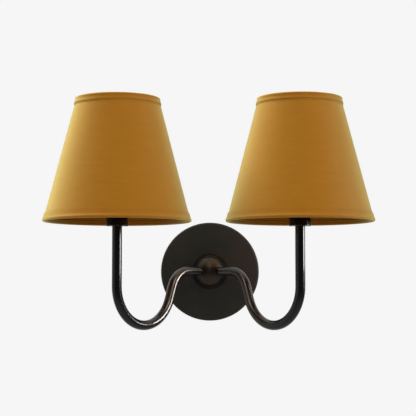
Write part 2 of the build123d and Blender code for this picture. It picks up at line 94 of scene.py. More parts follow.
def maths(tree, operation, a, b=0):
    """A sum of one or two values, each a socket or a number."""
    node = tree.nodes.new("ShaderNodeMath")
    node.operation = operation
    for socket, value in zip(node.inputs, (a, b)):
        if isinstance(value, (int, float)):
            socket.default_value = value
        else:
            link(tree, value, socket)
    return node.outputs[0]


def smooth_rise(tree, value, start, end, low, high):
    """A value that goes smoothly from low to high while its input goes from start to end."""
    rise = tree.nodes.new("ShaderNodeMapRange")
    rise.interpolation_type = "SMOOTHSTEP"
    limits = {"From Min": start, "From Max": end, "To Min": low, "To Max": high}
    for name, number in limits.items():
        rise.inputs[name].default_value = number
    link(tree, value, rise.inputs["Value"])
    return rise.outputs[0]


def blend(tree, factor, a, b):
    """Between two values, each a socket or a number."""
    mix = tree.nodes.new("ShaderNodeMix")
    link(tree, factor, mix.inputs["Factor"])
    for name, value in (("A", a), ("B", b)):
        if isinstance(value, (int, float)):
            mix.inputs[name].default_value = value
        else:
            link(tree, value, mix.inputs[name])
    return mix.outputs["Result"]


def axes_of(tree, vector):
    """The X, Y and Z of a vector, as sockets."""
    split = tree.nodes.new("ShaderNodeSeparateXYZ")
    link(tree, vector, split.inputs[0])
    return split.outputs


def object_coordinates(tree):
    """The place on a piece, in metres from the object's origin."""
    return tree.nodes.new("ShaderNodeTexCoord").outputs["Object"]


def seen_directly(tree, ray):
    """1 for what the camera sees itself or through glass."""
    return maths(
        tree, "MAXIMUM", ray.outputs["Is Camera Ray"], ray.outputs["Is Transmission Ray"]
    )


# %% [markdown]
# ## The room
# The photograph has a plain, nearly white surround. The world is white only for what the camera
# or a glass sees, so it doesn't wash out the object. Dark metal shows what stands round it, and
# here that is a studio: white behind, light above and on the left, grey below and nearly black
# in front. What is matt gets the room's even light.

# %% World
surround_white = 0.921          # how white the photograph's surround is, as light
studio_glow = 0.52              # the even light of a pale room, on what is matt
studio_dark = 0.07              # what metal sees where no pale wall stands
pale_walls = (                  # axis, where a wall begins, where it is full, and its light
    ("Y", 0.55, 0.97, surround_white),      # behind
    ("Z", 0.05, 0.80, 0.75),                # above
    ("X", -0.55, -0.99, 0.50),              # on the left
    ("Z", -0.10, -0.80, 0.40),              # below
)

world = bpy.data.worlds.new("studio")
bpy.context.scene.world = world
world.use_nodes = True
tree = world.node_tree
tree.nodes.clear()
direction = axes_of(tree, tree.nodes.new("ShaderNodeTexCoord").outputs["Generated"])
for_metal = studio_dark
for axis, start, full, light in pale_walls:
    wall_light = smooth_rise(tree, direction[axis], start, full, studio_dark, light)
    for_metal = maths(tree, "MAXIMUM", wall_light, for_metal)
ray = tree.nodes.new("ShaderNodeLightPath")
for_surfaces = blend(tree, ray.outputs["Is Glossy Ray"], studio_glow, for_metal)
sky = tree.nodes.new("ShaderNodeBackground")
sky.inputs["Color"].default_value = (1, 1, 1, 1)
sky_light = blend(tree, seen_directly(tree, ray), for_surfaces, surround_white)
link(tree, sky_light, sky.inputs["Strength"])
out = tree.nodes.new("ShaderNodeOutputWorld")
link(tree, sky.outputs[0], out.inputs["Surface"])
print("world:", len(pale_walls), "pale walls for metal,", studio_glow, "on matt surfaces")

# %% [markdown]
# ## The floor
# The floor is a disc of grey paper far below the light, so it takes a soft shadow. What the
# camera sees of it is lifted nearly to the white of the surround, and more towards the edge,
# where the lamps reach it less; the light it throws back up isn't.

# %% Floor
floor_depth = 420 * mm          # below the hub
floor_radius = 2.6
floor_sides = 96
floor_grey = 0.36
lift_from = 0.4                 # distance from the middle at which the lift begins to grow
lift_near, lift_far = 0.27, 0.62

bpy.ops.mesh.primitive_circle_add(
    vertices=floor_sides, radius=floor_radius, fill_type="NGON", location=(0, 0, -floor_depth)
)
floor = bpy.context.object
floor.name = "floor"
bpy.ops.object.transform_apply(location=True, rotation=True, scale=True)
floor.visible_glossy = False

paper = bpy.data.materials.new("studio_paper")
paper.use_nodes = True
tree = paper.node_tree
tree.nodes.clear()
matte = tree.nodes.new("ShaderNodeBsdfDiffuse")
matte.inputs["Color"].default_value = (floor_grey, floor_grey, floor_grey, 1)
from_middle = tree.nodes.new("ShaderNodeVectorMath")
from_middle.operation = "LENGTH"
link(tree, object_coordinates(tree), from_middle.inputs[0])
lift = smooth_rise(
    tree, from_middle.outputs["Value"], lift_from, floor_radius, lift_near, lift_far
)
seen = seen_directly(tree, tree.nodes.new("ShaderNodeLightPath"))
glow = tree.nodes.new("ShaderNodeEmission")
link(tree, maths(tree, "MULTIPLY", seen, lift), glow.inputs["Strength"])
total = tree.nodes.new("ShaderNodeAddShader")
link(tree, matte.outputs[0], total.inputs[0])
link(tree, glow.outputs[0], total.inputs[1])
out = tree.nodes.new("ShaderNodeOutputMaterial")
link(tree, total.outputs[0], out.inputs["Surface"])
floor.data.materials.append(paper)
print("floor:", floor_radius, "m in radius,", floor_depth, "m below the hub")

# %% [markdown]
# ## Lamps
# The cloth is palest on its left, darkest a little left of the middle, and a little pale and
# golden again on the right: a soft lamp stands far to the left and a weaker, warmer one on the
# right. They graze the cloth and aren't seen in the metal. The metal shows four others: two wide
# ones high in front, which make the brown bands on the bends, and two small, cooler ones on the
# right, which draw the thin white line on the tubes.

# %% Lamps
middle = Vector((0, -0.14, 0.08))       # of the object, which every lamp faces
warm_white = (1.0, 0.90, 0.68)
cool_white = (0.93, 0.97, 1.0)
lamp_rows = {       # turn and lift in degrees, distance, width and height in metres, power in W
    "left_lamp": (-114, 48, 2.0, 1.0, 1.0, 62),
    "right_lamp": (70, 30, 2.0, 1.0, 1.0, 16),
    "fill_lamp": (35, 36, 2.2, 1.2, 1.0, 13),
    "front_lamp": (-32, 38, 2.3, 1.4, 1.2, 10),
    "strip_lamp": (86.6, 7, 1.5, 0.42, 0.50, 16),
    "root_lamp": (100.5, 1, 1.5, 0.10, 0.16, 1.2),
}


def stand_at(turn, lift, distance):
    """A place round the object: turn in degrees from the camera's side, to the right."""
    level = cos(radians(lift))
    return middle + distance * Vector(
        (sin(radians(turn)) * level, -cos(radians(turn)) * level, sin(radians(lift)))
    )


def soft_lamp(name, place, width, height, power):
    """A rectangular lamp that faces the object."""
    data = bpy.data.lights.new(name, "AREA")
    data.shape = "RECTANGLE"
    data.size = width
    data.size_y = height
    data.energy = power
    lamp = bpy.data.objects.new(name, data)
    lamp.location = place
    lamp.rotation_euler = (middle - place).to_track_quat("-Z", "Y").to_euler()
    bpy.context.scene.collection.objects.link(lamp)
    print(name, [round(value, 2) for value in place], power, "W")
    return lamp


lamps = {}
for name, (turn, lift, distance, width, height, power) in lamp_rows.items():
    lamps[name] = soft_lamp(name, stand_at(turn, lift, distance), width, height, power)
for name in ("left_lamp", "right_lamp"):
    lamps[name].visible_glossy = False
lamps["right_lamp"].data.color = warm_white
for name in ("strip_lamp", "root_lamp"):
    lamps[name].visible_diffuse = False
    lamps[name].data.color = cool_white

# %% [markdown]
# ## Where an arm runs
# Each arm is one straight tube put through a bender twice: over a drop by the hub, then round a
# bowl and up to its light. Its bends all lie in one upright plane through the hub, turned
# towards the light. The bends' radii are the maker's choice. The rest is read from the packed
# cup and arm: how far the light stands off, how low the bowl hangs and how high the tube ends.

# %% Sizes of the arms
tube_around = 96
tube_wall = 1.3 * mm
port_depth = 9.0 * mm           # where a tube's end stops, from the dome's centre
drop_radius = 27.0 * mm
drop_turn = radians(70)
middle_run = 14.0 * mm          # the straight piece between the two bends
bowl_radius = 41.0 * mm
bend_step = radians(2.0)        # one ring of the mesh for every two degrees
tube_smooth = radians(40)       # sharper edges than this stay sharp
dome_out = 28.0 * mm            # how far the dome's centre stands off the wall
hub_centre = Vector((0, -dome_out, 0))
up = Vector((0, 0, 1))


def arm_line(side):
    """One arm's direction, its first straight length, its top and its tube's radius."""
    cup_low, cup_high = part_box(f"cup_{side}")
    arm_low, arm_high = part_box(f"arm_{side}")
    light_axis = Vector(((cup_low.x + cup_high.x) / 2, (cup_low.y + cup_high.y) / 2, 0))
    out = (light_axis - hub_centre).normalized()
    reach = (light_axis - hub_centre).length
    lead = (
        reach
        - (drop_radius + bowl_radius) * sin(drop_turn)
        - middle_run * cos(drop_turn)
        - bowl_radius
    )
    fall = (
        drop_radius * (1 - cos(drop_turn))
        + middle_run * sin(drop_turn)
        + bowl_radius * (1 - cos(drop_turn))
    )
    return out, lead, arm_high.z, -arm_low.z - fall


for side in sides:
    out, lead, top, tube_radius = arm_line(side)
    print(side, "lead", round(lead / mm, 2), "tube", round(2 * tube_radius / mm, 2), "mm")

# %% [markdown]
# ## Bending the arms
# A tube could be a curve with a round profile, or a swept section. Here it is bent as on the
# bender: a circle is drawn out straight, spun about the first bend's centre, drawn out, spun the
# other way about the second and drawn up. Even rings keep the thin lines of light on it smooth,
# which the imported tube's long triangles don't. The wall comes last.

# %% Helpers that make a tube


def start_tube(name, place, direction, radius):
    """An open ring, square to its direction, with all of it selected for the next step."""
    bpy.ops.object.select_all(action="DESELECT")
    bpy.ops.mesh.primitive_circle_add(
        vertices=tube_around,
        radius=radius,
        fill_type="NOTHING",
        location=place,
        rotation=direction.to_track_quat("Z", "Y").to_euler(),
    )
    tube = bpy.context.object
    tube.name = name
    tube.data.name = name
    bpy.ops.object.mode_set(mode="EDIT")
    bpy.ops.mesh.select_mode(type="EDGE")
    bpy.ops.mesh.select_all(action="SELECT")
    return tube


def draw_out(length, direction):
    """Lengthens the tube straight on from its last ring."""
    bpy.ops.mesh.extrude_region_move(TRANSFORM_OT_translate={"value": length * direction})


def bend(centre, axis, turn):
    """Bends the tube on from its last ring, about a centre; spin counts its angle backwards."""
    steps = round(abs(turn) / bend_step)
    bpy.ops.mesh.spin(steps=steps, angle=-turn, center=centre, axis=axis)


def give_wall(tube):
    """Turns the skin outwards, puts the tube's place in its mesh and thickens it inwards."""
    bpy.ops.mesh.select_all(action="SELECT")
    bpy.ops.mesh.normals_make_consistent(inside=False)
    bpy.ops.object.mode_set(mode="OBJECT")
    bpy.ops.object.transform_apply(location=True, rotation=True, scale=True)
    wall = tube.modifiers.new("wall", "SOLIDIFY")
    wall.thickness = tube_wall
    wall.offset = -1
    bpy.ops.object.modifier_apply(modifier=wall.name)
    bpy.ops.object.shade_smooth_by_angle(angle=tube_smooth)


# %% [markdown]
# The centre of each bend is found on the way. The drop's stands straight below the tube where
# the bend begins, and the bowl's square to the sloping run, on its upper side.

# %% Arms


def bent_arm(side):
    """One arm, from its end in the hub to its end in the lampholder."""
    out, lead, top, tube_radius = arm_line(side)
    across = out.cross(up)                       # square to the arm's plane
    slope = out * cos(drop_turn) - up * sin(drop_turn)
    inward = out * sin(drop_turn) + up * cos(drop_turn)
    drop_start = hub_centre + lead * out
    drop_end = drop_start + drop_radius * (
        sin(drop_turn) * out - (1 - cos(drop_turn)) * up
    )
    bowl_centre = drop_end + middle_run * slope + bowl_radius * inward

    arm = start_tube(f"bent_arm_{side}", hub_centre + port_depth * out, out, tube_radius)
    draw_out(lead - port_depth, out)
    bend(drop_start - drop_radius * up, across, -drop_turn)
    draw_out(middle_run, slope)
    bend(bowl_centre, across, pi / 2 + drop_turn)
    draw_out(top - bowl_centre.z, up)
    give_wall(arm)
    return arm


arms = {}
for side in sides:
    arms[side] = bent_arm(side)
    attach(arms[side], "fixture")
    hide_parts(f"arm_{side}")
    print(arms[side].name, len(arms[side].data.polygons), "faces")

# %% [markdown]
# ## Helpers for finishes
# Every finish below starts from the same shader and gets the noise that no real surface is
# without. Noise is read at the place on the piece, in metres, so its scale counts how many
# features fit in a metre, and it turns and moves with the piece.

# %% Helpers for finishes


def new_finish(name, colour, roughness, metallic=0.0):
    """A material with one Principled shader, given its plain values."""
    material = bpy.data.materials.new(name)
    material.use_nodes = True
    shader = material.node_tree.nodes["Principled BSDF"]
    shader.inputs["Base Color"].default_value = (*colour, 1)
    shader.inputs["Roughness"].default_value = roughness
    shader.inputs["Metallic"].default_value = metallic
    return material, material.node_tree, shader


def noise_on(tree, coordinates, scale, detail=3.0, stretch=(1, 1, 1)):
    """Noise from 0 to 1 on given coordinates."""
    mapping = tree.nodes.new("ShaderNodeMapping")
    mapping.inputs["Scale"].default_value = stretch
    link(tree, coordinates, mapping.inputs["Vector"])
    noise = tree.nodes.new("ShaderNodeTexNoise")
    noise.inputs["Scale"].default_value = scale
    noise.inputs["Detail"].default_value = detail
    link(tree, mapping.outputs[0], noise.inputs["Vector"])
    return noise.outputs["Fac"]


def ramp_between(tree, factor, stops):
    """Colours along a factor: stops are (position, colour)."""
    ramp = tree.nodes.new("ShaderNodeValToRGB")
    ends = ramp.color_ramp.elements
    for end, (position, colour) in zip(ends, (stops[0], stops[-1])):
        end.position = position
        end.color = (*colour, 1)
    for position, colour in stops[1:-1]:
        ends.new(position).color = (*colour, 1)
    link(tree, factor, ramp.inputs[0])
    return ramp.outputs["Color"]


def range_of(tree, factor, low, high):
    """A factor from 0 to 1 spread between two numbers."""
    spread = tree.nodes.new("ShaderNodeMapRange")
    spread.inputs["To Min"].default_value = low
    spread.inputs["To Max"].default_value = high
    link(tree, factor, spread.inputs["Value"])
    return spread.outputs[0]


def bump_from(tree, shader, height, distance, strength=1.0):
    """A bump of a height given in metres."""
    bump = tree.nodes.new("ShaderNodeBump")
    bump.inputs["Distance"].default_value = distance
    bump.inputs["Strength"].default_value = strength
    link(tree, height, bump.inputs["Height"])
    link(tree, bump.outputs[0], shader.inputs["Normal"])


# %% [markdown]
# ## Dark bronze on tubes and hub
# The arms, hub and cups have a bronze finish so dark that it is nearly black, with brown showing
# through in soft patches near the hub. It is a chemical patina, under a thin lacquer on the
# tubes. The brown near the hub is partly that patina and partly a painted reflection of the
# mustard shades, which this metal faces. It could be one dark colour, but the patches are what
# make it look rubbed by hand.

# %% Dark bronze
lacquer_roughness = 0.07
patch_scale = 28.0
patch_edges = (0.30, 0.65)      # the noise at which brown begins to show, and is full
least_brown = 0.35              # what shows between the patches
shine_scale = 35.0
shine_play = 0.03               # how far the roughness goes up and down


def bronze(name, dark, brown, wear_and_reflection_reach, roughness, metallic, lacquer):
    """Patinated metal: a dark ground with brown patches that fade out with distance from the hub,
    partly rubbed patina and partly a painted reflection of the shades.
    """
    material, tree, shader = new_finish(name, dark, roughness, metallic)
    shader.inputs["Coat Weight"].default_value = lacquer
    shader.inputs["Coat Roughness"].default_value = lacquer_roughness
    place = object_coordinates(tree)
    from_hub = maths(tree, "ABSOLUTE", axes_of(tree, place)["X"])
    # Brown near the hub, fading outwards: partly rubbed patina, partly a painted reflection of the
    # mustard shades
    wear_and_reflection = smooth_rise(tree, from_hub, wear_and_reflection_reach / 2, wear_and_reflection_reach, 1.0, 0.0)
    patches = smooth_rise(
        tree, noise_on(tree, place, patch_scale), *patch_edges, least_brown, 1.0
    )
    brown_wear_and_reflection = maths(tree, "MULTIPLY", patches, wear_and_reflection)
    colour = ramp_between(tree, brown_wear_and_reflection, ((0.0, dark), (1.0, brown)))
    link(tree, colour, shader.inputs["Base Color"])
    cloud = noise_on(tree, place, shine_scale, detail=2.0)
    shine = range_of(tree, cloud, roughness - shine_play, roughness + shine_play)
    link(tree, shine, shader.inputs["Roughness"])
    return material


tube_bronze = bronze(
    "tube_bronze",
    dark=(0.017, 0.016, 0.015),
    brown=(0.078, 0.057, 0.042),
    wear_and_reflection_reach=72 * mm,
    roughness=0.34,
    metallic=1.0,
    lacquer=0.8,
)
hub_bronze = bronze(
    "hub_bronze",
    dark=(0.036, 0.036, 0.033),
    brown=(0.085, 0.055, 0.032),
    wear_and_reflection_reach=14 * mm,
    roughness=0.36,
    metallic=0.9,
    lacquer=0.0,
)
print("bronzes:", tube_bronze.name, hub_bronze.name)

# %% [markdown]
# ## The plate's patina and painted contact shadow
# The flat plate is brushed before it is darkened, which leaves it duller than the tubes, with
# faint green and brown clouds. Where hub and plate meet, a dark ring is painted on the plate as
# the hub's contact shadow. The distance from the hub's axis gives the ring its place.

# %% Plate finish
plate_dark = (0.024, 0.021, 0.019)
plate_roughness = 0.6
plate_gloss = 0.25
plate_cloud_scale = 26.0
plate_clouds = (                # the cloud's noise, and its colour: green, grey and brown
    (0.38, (0.025, 0.025, 0.019)),
    (0.50, (0.030, 0.027, 0.023)),
    (0.62, (0.040, 0.029, 0.022)),
)
hub_low, hub_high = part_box("hub")
hub_foot = (hub_high.x - hub_low.x) / 2
# A dark ring painted on the plate round the hub's foot, as the hub's contact shadow
contact_shadow_width = 3.2 * mm
contact_shadow_dark = 0.15                # what is left of the colour in the painted contact shadow

plate_bronze, tree, shader = new_finish("plate_bronze", plate_dark, plate_roughness)
shader.inputs["Specular IOR Level"].default_value = plate_gloss
place = object_coordinates(tree)
clouds = noise_on(tree, place, plate_cloud_scale, detail=2.0)
along = axes_of(tree, place)
squares = [maths(tree, "POWER", maths(tree, "ABSOLUTE", along[axis]), 2) for axis in "XZ"]
from_axis = maths(tree, "SQRT", maths(tree, "ADD", *squares))
# The painted contact shadow: darkest at the hub's foot, back to full colour a ring's width out
contact_shadow_fade = smooth_rise(tree, from_axis, hub_foot, hub_foot + contact_shadow_width, contact_shadow_dark, 1.0)
with_contact_shadow = tree.nodes.new("ShaderNodeVectorMath")
with_contact_shadow.operation = "SCALE"
link(tree, ramp_between(tree, clouds, plate_clouds), with_contact_shadow.inputs[0])
link(tree, contact_shadow_fade, with_contact_shadow.inputs["Scale"])
link(tree, with_contact_shadow.outputs[0], shader.inputs["Base Color"])
# Where the painted contact shadow ring begins, and how wide it is
print("dirt ring from", round(hub_foot / mm, 2), "mm,", round(contact_shadow_width / mm, 2), "mm wide")

# %% [markdown]
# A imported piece's mesh has no finish of its own yet. Its place in the mesh stays as it is; only
# the list of materials is filled.

# %% Give out the bronze


def finish_node(node, material):
    """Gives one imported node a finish."""
    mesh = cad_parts[node].data
    mesh.materials.clear()
    mesh.materials.append(material)


finish_node("backplate", plate_bronze)
finish_node("hub", hub_bronze)
for side in sides:
    finish_node(f"arm_{side}", tube_bronze)
    arms[side].data.materials.append(tube_bronze)
    finish_node(f"cup_{side}", tube_bronze)
print("bronze on backplate, hub, arms and cups")

# %% [markdown]
# ## The hidden fittings
# Behind the plate and inside the shades are plain fittings: zinc-plated steel, brass, black
# moulded plastic, white nylon and a green-painted earth screw. Plated metal has a pale, faintly
# mottled shine, and moulded plastic a fine grain from its spark-eroded mould. Nobody looks at
# them closely, so two recipes with other colours serve for all of them.

# %% Finishes of the fittings
turning_scale, turning_bump = 1400.0, 0.01 * mm
turning_duller, turning_brighter = 0.08, 0.06      # what the turning marks do to the shine
grain_scale, grain_bump = 1800.0, 0.03 * mm
flow_scale = 90.0               # of the faint clouds that moulding leaves
mottle_edges = (0.35, 0.70)


def two_tone(tree, shader, factor, first, second):
    """Lets the colour go from one tone to another along a factor."""
    stops = tuple(zip(mottle_edges, (first, second)))
    link(tree, ramp_between(tree, factor, stops), shader.inputs["Base Color"])


def plated(name, colour, mottled, roughness, scale):
    """Plated or turned metal with a mottled shine."""
    material, tree, shader = new_finish(name, colour, roughness, metallic=1.0)
    place = object_coordinates(tree)
    two_tone(tree, shader, noise_on(tree, place, scale), colour, mottled)
    fine = noise_on(tree, place, turning_scale, detail=1.0)
    shine = range_of(tree, fine, roughness - turning_brighter, roughness + turning_duller)
    link(tree, shine, shader.inputs["Roughness"])
    bump_from(tree, shader, fine, turning_bump)
    return material


def moulded(name, colour, shade, roughness):
    """Moulded plastic, or paint, with a fine grain."""
    material, tree, shader = new_finish(name, colour, roughness)
    place = object_coordinates(tree)
    two_tone(tree, shader, noise_on(tree, place, flow_scale), colour, shade)
    bump_from(tree, shader, noise_on(tree, place, grain_scale, detail=1.0), grain_bump)
    return material


zinc = plated("zinc_plate", (0.56, 0.56, 0.54), (0.66, 0.65, 0.62), 0.34, 140.0)
wire_steel = plated("plated_wire", (0.50, 0.48, 0.44), (0.60, 0.58, 0.53), 0.28, 200.0)
brass = plated("brass", (0.70, 0.50, 0.22), (0.78, 0.60, 0.30), 0.30, 160.0)
solder = plated("solder", (0.48, 0.48, 0.49), (0.60, 0.60, 0.60), 0.42, 900.0)
nylon = moulded("white_nylon", (0.80, 0.80, 0.77), (0.74, 0.74, 0.70), 0.45)
phenolic = moulded("black_phenolic", (0.016, 0.016, 0.017), (0.024, 0.023, 0.022), 0.38)
green_paint = moulded("green_paint", (0.03, 0.22, 0.06), (0.04, 0.28, 0.08), 0.35)
sleeve_paint = moulded("sleeve_paint", (0.028, 0.024, 0.021), (0.045, 0.035, 0.028), 0.42)
print("fittings: 4 metals and 4 moulded or painted finishes")

# %% [markdown]
# Some fittings are there once, behind the plate. The others are there twice, once for each
# light, so two lists say which finish goes where.

# %% Give out the fittings' finishes
behind_the_plate = {
    "wall_bracket": zinc,
    "grub_screws": zinc,
    "terminal_screws": zinc,
    "hub_nipple": zinc,
    "hub_washer": zinc,
    "hub_nut": zinc,
    "earth_screw": green_paint,
    "terminal_block": nylon,
}
at_each_light = {
    "cup_nut": zinc,
    "candle_sleeve": sleeve_paint,
    "lampholder": phenolic,
    "screw_shell": brass,
    "centre_contact": brass,
    "bulb_cap": brass,
    "bulb_contact": solder,
    "bulb_clip": wire_steel,
    "shade_top_ring": wire_steel,
    "shade_bottom_ring": wire_steel,
}
for node, finish in behind_the_plate.items():
    finish_node(node, finish)
for node, finish in at_each_light.items():
    for side in sides:
        finish_node(f"{node}_{side}", finish)
print(len(behind_the_plate) + 2 * len(at_each_light), "fittings finished")

# %% [markdown]
# ## Frosted bulbs
# The bulbs aren't lit. Their glass is etched inside, so it looks like thin milk: mostly white,
# a little see-through, with a smooth outer face. Part transmission and part diffuse white gives
# that without tracing a hollow glass shell.

# %% Frosted glass
milk_white = (0.90, 0.89, 0.86)
milk_tones = ((0.3, (0.88, 0.87, 0.84)), (0.7, (0.94, 0.93, 0.91)))
glass_roughness = 0.22
etching_scale = 160.0
glass_values = {
    "Transmission Weight": 0.35,
    "IOR": 1.45,
    "Coat Weight": 0.5,
    "Coat Roughness": 0.05,
}

frosted, tree, shader = new_finish("frosted_glass", milk_white, glass_roughness)
for name, number in glass_values.items():
    shader.inputs[name].default_value = number
etching = noise_on(tree, object_coordinates(tree), etching_scale)
link(tree, ramp_between(tree, etching, milk_tones), shader.inputs["Base Color"])
for side in sides:
    finish_node(f"bulb_glass_{side}", frosted)
print("bulbs:", frosted.name)

# %% [markdown]
# ## Where the shades are
# Each shade is a cone between two wire hoops. The middle line of each wire is read from the
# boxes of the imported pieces, so the cloth follows the frame if the frame changes. A point of the
# shade's section is then given by its distance along the card and its distance out from it.

# %% Sizes of the shades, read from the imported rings
wire_radius = 1.0 * mm
bead_radius = 1.8 * mm          # of the trim where it rolls over the wire


def ring_of(side, end):
    """Middle of one hoop's wire: its centre in x and y, its radius and its height."""
    low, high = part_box(f"shade_{end}_ring_{side}")
    if end == "bottom":
        height = (low.z + high.z) / 2
    else:
        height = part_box(f"shade_top_trim_{side}")[1].z - bead_radius
    return (low.x + high.x) / 2, (low.y + high.y) / 2, (high.x - low.x) / 2 - wire_radius, height


hoops = {(side, end): ring_of(side, end) for side in sides for end in ("top", "bottom")}
for place, ring in hoops.items():
    print(place, [round(value / mm, 2) for value in ring])

top_radius, top_height = hoops["left", "top"][2:]
bottom_radius, bottom_height = hoops["left", "bottom"][2:]
card_run = bottom_radius - top_radius
card_rise = top_height - bottom_height
card_length = hypot(card_run, card_rise)
apex_to_top = top_radius * card_length / card_run       # along the card, from the cone's point
print("card length", round(card_length / mm, 1), "mm")


def section_point(end, along, out):
    """Radius and height of a point of the shade's section.

    along is measured down the card from the top wire, or up it from the bottom wire, and out
    is measured square to the card, away from the bulb.
    """
    down = 1 if end == "top" else -1
    radius, height = (top_radius, top_height) if end == "top" else (bottom_radius, bottom_height)
    radius += down * along * card_run / card_length + out * card_rise / card_length
    height += -down * along * card_rise / card_length + out * card_run / card_length
    return radius, height


# %% [markdown]
# ## Turning a section into cloth
# A shade's card, cloth and trims are all rings. They could be spun from a drawn section, but by
# hand it is as quick to start from one open circle and extrude it ring by ring, scaling and
# lifting each new ring to the next point of the section. The wall gets its thickness last.

# %% Helpers: rings extruded along a section
around = 288
cloth_smooth = radians(50)      # sharper edges than this stay sharp


def keep_wall_side(piece, centre_x, centre_y, half_angle):
    """Cuts a ring down to a short arc on the wall side."""
    bpy.ops.mesh.select_mode(type="VERT")
    bpy.ops.mesh.select_all(action="DESELECT")
    bpy.ops.object.mode_set(mode="OBJECT")
    for vertex in piece.data.vertices:
        place = piece.matrix_world @ vertex.co
        vertex.select = abs(atan2(place.x - centre_x, place.y - centre_y)) > half_angle
    bpy.ops.object.mode_set(mode="EDIT")
    bpy.ops.mesh.delete(type="VERT")


def next_ring(centre_x, centre_y, lift, factor, height):
    """Extrudes the last ring to a new height and radius."""
    bpy.ops.mesh.extrude_region_move(TRANSFORM_OT_translate={"value": (0, 0, lift)})
    bpy.ops.transform.resize(
        value=(factor, factor, 1), center_override=(centre_x, centre_y, height)
    )


def shade_ring_piece(name, side, section, thickness, half_angle=None):
    """A round piece about one light's axis, from (radius, height) points, as one thin wall."""
    centre_x, centre_y = hoops[side, "top"][:2]
    radius, height = section[0]
    bpy.ops.object.select_all(action="DESELECT")
    bpy.ops.mesh.primitive_circle_add(
        vertices=around, radius=radius, fill_type="NOTHING", location=(centre_x, centre_y, height)
    )
    piece = bpy.context.object
    piece.name = name
    piece.data.name = name
    bpy.ops.object.mode_set(mode="EDIT")
    bpy.ops.mesh.select_mode(type="EDGE")
    bpy.ops.mesh.select_all(action="SELECT")
    for next_radius, next_height in section[1:]:
        next_ring(centre_x, centre_y, next_height - height, next_radius / radius, next_height)
        radius, height = next_radius, next_height
    if half_angle:
        keep_wall_side(piece, centre_x, centre_y, half_angle)
    bpy.ops.mesh.select_all(action="SELECT")
    bpy.ops.mesh.normals_make_consistent(inside=False)
    bpy.ops.object.mode_set(mode="OBJECT")
    bpy.ops.object.transform_apply(location=True, rotation=True, scale=True)
    wall = piece.modifiers.new("wall", "SOLIDIFY")
    wall.thickness = thickness
    wall.offset = 0
    wall.use_even_offset = True
    bpy.ops.object.modifier_apply(modifier=wall.name)
    bpy.ops.object.shade_smooth_by_angle(angle=cloth_smooth)
    return piece


# %% [markdown]
# ## Laying the cloth out flat
# The cloth is cut flat as part of a ring and wrapped round, so its threads run straight in the
# flat piece and turn round the cone. That flat piece is the cloth's UV map, in metres. An angle
# round the axis jumps by a whole turn at the wall, so a face that lies across the jump gets all
# its corners on one side of it.

# %% Helpers: UV maps in metres


def corners_round(piece, side):
    """Each corner of a round piece: its number, its point and its angle from the front."""
    centre_x, centre_y = hoops[side, "top"][:2]
    vertices = piece.data.vertices
    for face in piece.data.polygons:
        away = face.center - Vector((centre_x, centre_y, 0))
        middle_angle = atan2(away.x, -away.y)
        for corner in face.loop_indices:
            point = vertices[piece.data.loops[corner].vertex_index].co
            angle = atan2(point.x - centre_x, centre_y - point.y)
            if angle - middle_angle > pi:
                angle -= 2 * pi
            elif middle_angle - angle > pi:
                angle += 2 * pi
            yield corner, point, angle


def flat_cut_uv(piece, side):
    """Lays the cone out flat as it was cut, with its seam at the wall."""
    layer = piece.data.uv_layers.new(name="flat_cut")
    turn = card_run / card_length
    for corner, point, angle in corners_round(piece, side):
        slant = apex_to_top + (top_height - point.z) * card_length / card_rise
        layer.data[corner].uv = (slant * sin(angle * turn), -slant * cos(angle * turn))


# %% [markdown]
# ## Card cone and its cloth
# The shade is cloth glued on stiff card, which shows inside. It could stay one wall with two
# finishes, but then its edges would show no layers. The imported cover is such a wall, a millimetre
# thick. Here its inner part is the card and its outer part the cloth, with a hair of glue between
# them, so the two faces that show stay where they were.

# %% Card and cloth
cover_half = 0.5 * mm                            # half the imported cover's wall
card_thickness = 0.55 * mm
cloth_thickness = 0.40 * mm
card_middle = -cover_half + card_thickness / 2   # the card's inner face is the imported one's
cloth_middle = cover_half - cloth_thickness / 2  # and the cloth's outer face too
edge_gap = 1.6 * mm                              # clear of the wires
rings_down = 12


def straight_section(out, first, last, steps):
    """Points down the card from the top wire, at one distance out from it."""
    return [
        section_point("top", first + (last - first) * step / steps, out)
        for step in range(steps + 1)
    ]


cards = {}
cloths = {}
for side in sides:
    card_section = straight_section(card_middle, edge_gap, card_length - edge_gap, 1)
    cards[side] = shade_ring_piece(f"shade_card_{side}", side, card_section, card_thickness)
    cloth_section = straight_section(
        cloth_middle, edge_gap, card_length - edge_gap, rings_down
    )
    cloths[side] = shade_ring_piece(
        f"shade_cloth_{side}", side, cloth_section, cloth_thickness
    )
    for piece in (cards[side], cloths[side]):
        flat_cut_uv(piece, side)
        print(piece.name, len(piece.data.polygons), "faces")

# %% [markdown]
# ## Folded trims
# Each end is bound with a strip of the same cloth. It lies on the outside, rolls over the wire
# and ends inside. Below the wide fold a narrow one shows as a second line. The strip is drawn as
# a section: straight, round the wire on an arc, and straight again. Its UV map is the strip laid
# out straight.

# %% Helpers for trims
strip_thickness = 0.45 * mm
strip_out = 1.35 * mm - strip_thickness / 2      # middle of the strip, outside the card
strip_in = 1.10 * mm - strip_thickness / 2       # and inside it
roll_radius = bead_radius - strip_thickness / 2
roll_steps = 14
fullest_at = 0.62               # how far along the outside the strip stands out most
fullest_out = 1.02              # and by how much


def trim_section(end, outside_length, inside_length):
    """The wide fold: up the outside, over the wire and down the inside."""
    start = atan2(strip_out, (roll_radius**2 - strip_out**2) ** 0.5)
    stop = 2 * pi - atan2(strip_in, (roll_radius**2 - strip_in**2) ** 0.5)
    points = [
        (outside_length, strip_out),
        (outside_length * fullest_at, strip_out * fullest_out),
    ]
    for step in range(roll_steps + 1):
        angle = start + (stop - start) * step / roll_steps
        points.append((roll_radius * cos(angle), roll_radius * sin(angle)))
    points.append((inside_length, -strip_in))
    return [section_point(end, along, out) for along, out in points]


